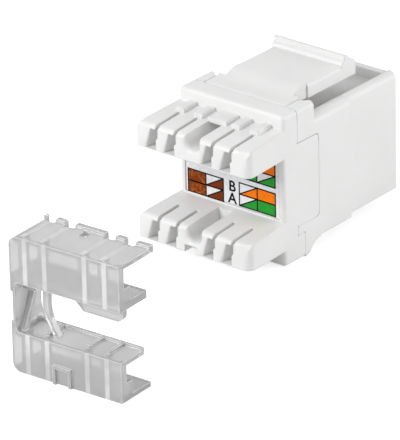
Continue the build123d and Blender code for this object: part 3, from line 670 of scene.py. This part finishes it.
class JACK_OT_dust_cap(Operator):
    """Clear plastic for the dust cap, and the shape of its web and second arm"""

    bl_idname = "jack.dust_cap"
    bl_label = "Dust cap"

    # Every length here is in millimetres. Ribs: distances from the cap's outer side. They stand behind
    # the clear wall, so on its outer face they show that far beside their places
    rib_places = (1.6, 4.4, 10.1, 12.9)
    rib_shift = 0.66
    # Where a rib's painted highlight fades: beside its middle, between the wall's faces, at the lower and at
    # the upper end of the space between the trays, and behind the wall, where it loses a share of its painted
    # light
    rib_sides = (0.22, 0.40)
    wall_faces = (0.3, 0.5)
    space_bottom = (-4.6, -4.5)
    space_top = (1.6, 1.7)
    wall_back = (1.4, 1.7)
    lost_share = 0.55
    # Painted highlight of the edges, and of each rib, which is patchy: the least of it and what the patches add
    edge_width = 0.22
    edge_highlight = 0.75
    rib_highlight = 0.42
    rib_highlight_patches = 0.45
    # Web under the upper tray, in the cap's own directions: underside of the tray, how far the web
    # reaches below it, what it has in common with the CAD web, its ends, the radius of its corner and
    # its two faces
    tray_bottom = 11.33
    web_drop = 1.9
    web_overlap = 0.3
    web_ends = (6.9, 15.0)
    web_corner = 0.95
    web_faces = (1.41, 2.19)
    # Arch cut from the web: middle and radius, the side wall that it starts at, what it passes the web
    # by below, what it leaves under the tray, and the two faces of its cutter
    arch_middle = 5.5
    arch_radius = 4.8
    arch_wall = 4.6
    arch_below = 0.1
    arch_above = 0.05
    arch_faces = (1.3, 2.3)
    arc_steps = 12
    # Second arm between the trays: its outer edge, along the cap and up, and its width
    arm_edge = (
        (4.40, 11.35), (4.30, 9.6), (4.28, 8.8), (4.38, 8.0),
        (4.58, 7.3), (4.9, 6.6), (5.3, 5.9), (5.85, 4.95),
    )
    arm_width = 0.75

    def execute(self, context):
        size = context.scene.clear_plastic
        finish = Finish("clear_plastic")
        cloud = finish.noise(220.0)
        ripple = finish.noise(700.0, detail=1.0)
        normal = finish.bump(ripple, 0.2, 0.02 * MM, finish.rounded(0.15 * MM))
        wall = finish.shader(
            Base_Color=finish.mottled(cloud, (0.35, 0.7), size.colour, shaded(size.colour, 0.94)),
            Roughness=cloud.around(size.roughness, 0.06),
            Normal=normal,
            Transmission_Weight=size.clearness,
            IOR=size.index,
        )
        # The painted highlight: a whitish, less clear shader for the edges and each rib
        edge = finish.shader(
            Base_Color=tuple(size.highlight_colour),
            Roughness=size.highlight_roughness,
            Normal=normal,
            Transmission_Weight=size.highlight_clearness,
            IOR=size.index,
        )
        # Painted highlight on each rib, in patches
        patches = finish.noise(300.0).over(0.35, 0.65) * self.rib_highlight_patches + self.rib_highlight
        # Painted highlight along every edge
        edges = finish.edges(self.edge_width * MM) * self.edge_highlight
        # Where the cap is painted with highlights, the whitish shader takes over from the clear wall
        light = edges.or_mask(self.rib_highlight_mask(finish, size) * patches)
        material = finish.close(finish.blend(light, wall, edge))
        paint(["dust_cap"], material)
        self.shape_web(size, material)
        return {"FINISHED"}

    def shape_web(self, size, material):
        """The dust cap with a deeper web, a wide arch and a second arm to its lower tray."""
        left, right = self.web_ends
        low, high = self.tray_bottom - self.web_drop, self.tray_bottom - self.web_overlap
        corner = (right - self.web_corner, low + self.web_corner)
        plate = [(left, high), (left, low)]
        plate += arc(corner, self.web_corner, -math.pi / 2, 0.0, self.arc_steps)
        plate.append((right, high))
        arm = [*self.arm_edge, *((x - self.arm_width, z) for x, z in reversed(self.arm_edge))]
        low, high = low - self.arch_below, self.tray_bottom - self.arch_above
        centre = self.tray_bottom - self.arch_radius
        first, last = (math.asin((level - centre) / self.arch_radius) for level in (high, low))
        arch = [(self.arch_wall, low), (self.arch_wall, high)]
        arch += arc((self.arch_middle, centre), self.arch_radius, first, last, self.arc_steps)
        data = copy_of_node("dust_cap")
        for operation, outlines, faces in (
            ("UNION", (plate, arm), self.web_faces),
            ("DIFFERENCE", (arch,), self.arch_faces),
        ):
            mesh = bmesh.new()
            for outline in outlines:
                skin(mesh, [[self.in_cap(size, x, depth, z) for x, z in outline] for depth in faces])
            data = cut_or_join(data, mesh, operation)
        finish_shape(data)
        piece = new_piece("dust_cap_web", data, "jack", material)
        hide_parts("dust_cap")

    def in_cap(self, size, along, depth, height):
        """A point of the part, in millimetres, from a point in the cap's own directions."""
        turn = math.radians(size.turn)
        x = along * math.cos(turn) - depth * math.sin(turn)
        y = along * math.sin(turn) + depth * math.cos(turn)
        return Vector(size.corner) / MM + Vector((x, y, height))

    def rib_highlight_mask(self, finish, size):
        """1 in each rib inside the back walls, where a highlight is painted, 0 elsewhere."""
        turn = math.radians(size.turn)
        corner = Vector(size.corner)
        along = Vector((math.cos(turn), math.sin(turn), 0.0))
        inward = Vector((-math.sin(turn), math.cos(turn), 0.0))
        across = finish.dot(finish.place(), along)
        inside = finish.dot(finish.place(), inward) - corner.dot(inward)
        shift = (1.0 - inside.past(self.wall_faces)) * (self.rib_shift * MM)
        mask = 0.0
        for place in self.rib_places:
            off = (across - shift - (corner.dot(along) + place * MM)).without_sign()
            mask = (1.0 - off.past(self.rib_sides)).or_mask(mask)
        height = finish.node("ShaderNodeSeparateXYZ", None, {"Vector": finish.place()}, out="Z")
        between = height.past(self.space_bottom) * (1.0 - height.past(self.space_top))
        lost = inside.past(self.wall_back) * self.lost_share
        return mask * (1.0 - between) * (1.0 - lost)


class JACK_OT_contacts(Operator):
    """Plating for the contact wires and the blades"""

    bl_idname = "jack.contacts"
    bl_label = "Contact wires and blades"

    def execute(self, context):
        size = context.scene.plating
        for name, nodes, colour, roughness in (
            ("gold_contact", WIRE_NODES, size.gold, 0.22),
            ("tinned_blade", BLADE_NODES, size.tin, 0.36),
        ):
            finish = Finish(name)
            cloud = finish.noise(900.0)
            streaks = finish.noise(5200.0, detail=2.0)
            paint(nodes, finish.surface(
                Base_Color=finish.mottled(cloud, (0.45, 0.8), colour, shaded(colour, 0.72)),
                Roughness=cloud.around(roughness, 0.16),
                Metallic=1.0,
                Normal=finish.bump(streaks, 0.2, 0.004 * MM, finish.rounded(0.04 * MM)),
            ))
        return {"FINISHED"}


class JACK_OT_board(Operator):
    """Lacquered circuit board and the block that carries the wires"""

    bl_idname = "jack.board"
    bl_label = "Circuit board and carrier"

    def execute(self, context):
        size = context.scene.plating
        board = Finish("board_laminate")
        weave = board.noise(3000.0)
        paint(["circuit_board"], board.surface(
            Base_Color=board.mottled(weave, (0.45, 0.6), size.lacquer, shaded(size.lacquer, 1.6)),
            Roughness=weave.around(0.25, 0.1),
            Coat_Weight=0.4,
            Normal=board.bump(weave, 0.15, 0.01 * MM),
        ))
        carrier = Finish("carrier_plastic")
        cloud = carrier.noise(400.0)
        paint(["contact_carrier"], carrier.surface(
            Base_Color=carrier.mottled(cloud, (0.3, 0.7), size.carrier, size.carrier_shade),
            Roughness=cloud.around(0.45, 0.1),
            Normal=carrier.rounded(0.08 * MM),
        ))
        return {"FINISHED"}


class JACK_OT_label(Operator):
    """Wiring label with its colour fields, outlines and letters"""

    bl_idname = "jack.label"
    bl_label = "Wiring label"

    # Blocks of two rows: left edge, divider, right edge and bottom edge, in millimetres, then
    # the side of the plain cells and the colours of the upper and the lower row
    blocks = (
        (-6.80, -4.04, -1.37, -3.55, "left", ("brown", "brown")),
        (1.10, 3.84, 6.60, -3.35, "right", ("orange", "green")),
        (-6.80, -4.04, -1.37, 0.40, "right", ("blue", "blue")),
        (1.10, 3.84, 6.60, 0.40, "left", ("orange", "green")),
    )
    # Inks in the order of their material slots, and a patchy brown behind them
    inks = ("brown", "orange", "green", "blue", "ink", "paper")
    outline_slot = inks.index("ink")
    paper_slot = inks.index("paper")
    patchy_slot = len(inks)
    # Letters with the height of their middle and how much their strokes are widened, in millimetres,
    # and the height of a capital as a share of the font's size
    letters = (("B", -1.19), ("A", -2.77))
    boldness = 0.035
    capital_share = 0.70

    def execute(self, context):
        size = context.scene.wiring_print
        paint(["wiring_label"], print_finish("label_film", size.paper))
        face = -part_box("wiring_label")[0].y
        mesh = bmesh.new()
        for *edges, plain_side, colours in self.blocks:
            self.draw_block(mesh, size, face, edges, plain_side, colours)
        data = bpy.data.meshes.new("label_print")
        mesh.to_mesh(data)
        mesh.free()
        materials = [print_finish(f"print_{name}", getattr(size, name)) for name in self.inks]
        materials.append(print_finish("print_brown_patched", size.brown, size.brown_patches))
        new_piece("label_print", data, "jack", materials[0])
        for material in materials[1:]:
            data.materials.append(material)
        for letter, middle in self.letters:
            self.draw_letter(letter, middle * MM, size, face, materials[self.outline_slot])
        return {"FINISHED"}

    def draw_block(self, mesh, size, face, edges, plain_side, colours):
        """Draws one block of two rows: a plain cell and a cell cut in two along its diagonal."""
        left, divider, right, bottom = (edge * MM for edge in edges)
        fields, lines = (face, face + size.film), (face + size.film, face + size.film + size.film)
        if plain_side == "left":
            plain, cut = (left, divider), (divider, right)
        else:
            plain, cut = (divider, right), (left, divider)
        for level, colour in ((1, colours[0]), (0, colours[1])):
            low, high = bottom + level * size.row_height, bottom + (level + 1) * size.row_height
            ink = self.inks.index(colour)
            plain_ink = self.patchy_slot if colour == "brown" else ink
            cell = [(plain[0], low), (plain[1], low), (plain[1], high), (plain[0], high)]
            prism(mesh, cell, *fields, plain_ink)
            prism(mesh, [(cut[0], low), (cut[1], low), (cut[1], high)], *fields, ink)
            prism(mesh, [(cut[0], low), (cut[1], high), (cut[0], high)], *fields, self.paper_slot)
            for start, end in (
                ((cut[0], low), (cut[1], high)), ((left, low), (right, low)), ((left, high), (right, high)),
            ):
                prism(mesh, stroke(start, end, size.line_width), *lines, self.outline_slot)
        for x in (left, divider, right):
            upright = stroke((x, bottom), (x, bottom + 2 * size.row_height), size.line_width)
            prism(mesh, upright, *lines, self.outline_slot)

    def draw_letter(self, letter, middle, size, face, material):
        """Draws one letter in the middle of the label."""
        text = bpy.data.curves.new(f"letter_{letter}", "FONT")
        text.body = letter
        text.size = size.letter_height / self.capital_share
        text.align_x = "CENTER"
        text.align_y = "CENTER"
        text.extrude = size.film
        text.offset = self.boldness * MM
        holder = bpy.data.objects.new(f"letter_{letter}_outline", text)
        bpy.context.scene.collection.objects.link(holder)
        bpy.context.view_layer.update()
        outline = bpy.data.meshes.new_from_object(holder)
        bpy.data.objects.remove(holder)
        turn = Matrix.Translation((0.0, -face - size.film, middle)) @ Matrix.Rotation(math.pi / 2, 4, "X")
        outline.transform(turn)
        outline.materials.clear()
        new_piece(f"letter_{letter}", outline, "jack", material)


class JACK_OT_stage(Operator):
    """Floor, background, lights and camera"""

    bl_idname = "jack.stage"
    bl_label = "Stage and camera"

    # Floor: half its width, in metres, how far it lies below the jack, so that no faces share a plane,
    # its colour, and the glow that makes it white where it is seen
    floor_reach = 1.5
    floor_gap = 0.02 * MM
    floor_paper = (0.82, 0.82, 0.82, 1.0)
    floor_glow = 0.60
    # Soft boxes: name, the setting with their power, and place, in metres, then their width
    soft_boxes = (
        ("rear_soft_box", "key", (-0.15, -0.42, 0.27)),
        ("side_soft_box", "side", (0.40, 0.28, 0.14)),
        ("top_soft_box", "overhead", (0.02, 0.02, 0.50)),
    )
    box_width = 0.25
    # Camera: width of the sensor, in millimetres, and the nearest and farthest that it sees, in metres
    sensor_width = 36.0
    nearest = 0.01
    farthest = 20.0

    def execute(self, context):
        size = context.scene.studio
        self.lay_floor()
        self.light(context, size)
        self.set_camera(context, size)
        context.scene.view_settings.view_transform = "Standard"
        return {"FINISHED"}

    def lay_floor(self):
        """A wide pale floor that looks white away from the shadow."""
        mesh = bpy.data.meshes.new("floor")
        level = CAD_BOX[0].z - self.floor_gap
        reach = self.floor_reach
        corners = ((-reach, -reach), (reach, -reach), (reach, reach), (-reach, reach))
        mesh.from_pydata([(x, y, level) for x, y in corners], [], [(0, 1, 2, 3)])
        floor = bpy.data.objects.new("floor", mesh)
        bpy.context.scene.collection.objects.link(floor)
        finish = Finish("floor_paper")
        strength = self.seen_rays(finish) * self.floor_glow
        paper = finish.node("ShaderNodeBsdfDiffuse", None, {"Color": self.floor_paper})
        glow = finish.node("ShaderNodeEmission", None, {"Color": WHITE, "Strength": strength})
        mesh.materials.append(finish.close(finish.node("ShaderNodeAddShader", None, {0: paper, 1: glow})))

    def seen_rays(self, finish):
        """1 for rays that show the background, straight, mirrored or through clear plastic."""
        straight, mirrored, through = (
            finish.node("ShaderNodeLightPath", out=f"Is {kind} Ray")
            for kind in ("Camera", "Glossy", "Transmission"))
        return straight.or_mask(mirrored).or_mask(through)

    def light(self, context, size):
        """Even light from all round and three soft boxes."""
        sky = Finish("studio", bpy.data.worlds)
        context.scene.world = sky.owner
        strength = self.seen_rays(sky) * (1.0 - size.sky) + size.sky
        background = sky.node("ShaderNodeBackground", None, {"Color": WHITE, "Strength": strength})
        sky.node("ShaderNodeOutputWorld", None, {"Surface": background})
        for name, power, place in self.soft_boxes:
            self.soft_box(context, name, getattr(size, power), place)

    def soft_box(self, context, name, power, place):
        """A square soft box that faces the jack."""
        lamp = bpy.data.lights.new(name, "AREA")
        lamp.size = self.box_width
        lamp.energy = power
        box = bpy.data.objects.new(name, lamp)
        context.scene.collection.objects.link(box)
        box.location = place
        box.rotation_euler = (-Vector(place)).to_track_quat("-Z", "Y").to_euler()

    def set_camera(self, context, size):
        """Camera at the photograph's angle, with its long lens."""
        turn, rise, roll = (math.radians(angle) for angle in (size.azimuth, size.elevation, size.roll))
        back = Vector((math.sin(turn) * math.cos(rise), -math.cos(turn) * math.cos(rise), math.sin(rise)))
        right = Vector((math.cos(turn), math.sin(turn), 0.0))
        up = back.cross(right)
        rolled_right = right * math.cos(roll) + up * math.sin(roll)
        rolled_up = up * math.cos(roll) - right * math.sin(roll)
        lens = bpy.data.cameras.new("camera")
        lens.sensor_fit = "HORIZONTAL"
        lens.sensor_width = self.sensor_width
        lens.lens = size.focal_length
        lens.clip_start = self.nearest
        lens.clip_end = self.farthest
        camera = bpy.data.objects.new("camera", lens)
        context.scene.collection.objects.link(camera)
        axes = Matrix((rolled_right, rolled_up, back)).transposed().to_4x4()
        camera.matrix_world = Matrix.Translation(Vector(size.target) + back * size.distance) @ axes
        context.scene.camera = camera


class JACK_PT_panel(Panel):
    """Lists the steps that dress the jack"""

    bl_idname = "JACK_PT_panel"
    bl_label = "Keystone jack"
    bl_space_type = "VIEW_3D"
    bl_region_type = "UI"
    bl_category = "Keystone jack"

    def draw(self, context):
        for step in STEPS:
            self.layout.operator(step.bl_idname)


STEPS = (JACK_OT_housings, JACK_OT_dust_cap, JACK_OT_contacts, JACK_OT_board, JACK_OT_label, JACK_OT_stage)
SETTINGS = {
    "moulded_plastic": MouldedPlastic,
    "tower_shape": TowerShape,
    "clear_plastic": ClearPlastic,
    "wiring_print": WiringPrint,
    "plating": Plating,
    "studio": Studio,
}


def register():
    for kind in (*SETTINGS.values(), *STEPS, JACK_PT_panel):
        bpy.utils.register_class(kind)
    for name, kind in SETTINGS.items():
        setattr(bpy.types.Scene, name, PointerProperty(type=kind))


def unregister():
    for name in SETTINGS:
        delattr(bpy.types.Scene, name)
    for kind in (JACK_PT_panel, *reversed(STEPS), *reversed(list(SETTINGS.values()))):
        bpy.utils.unregister_class(kind)


def main():
    """Dresses the jack step by step."""
    register()
    bpy.ops.jack.housings()
    bpy.ops.jack.dust_cap()
    bpy.ops.jack.contacts()
    bpy.ops.jack.board()
    bpy.ops.jack.label()
    bpy.ops.jack.stage()


if __name__ == "__main__":
    main()
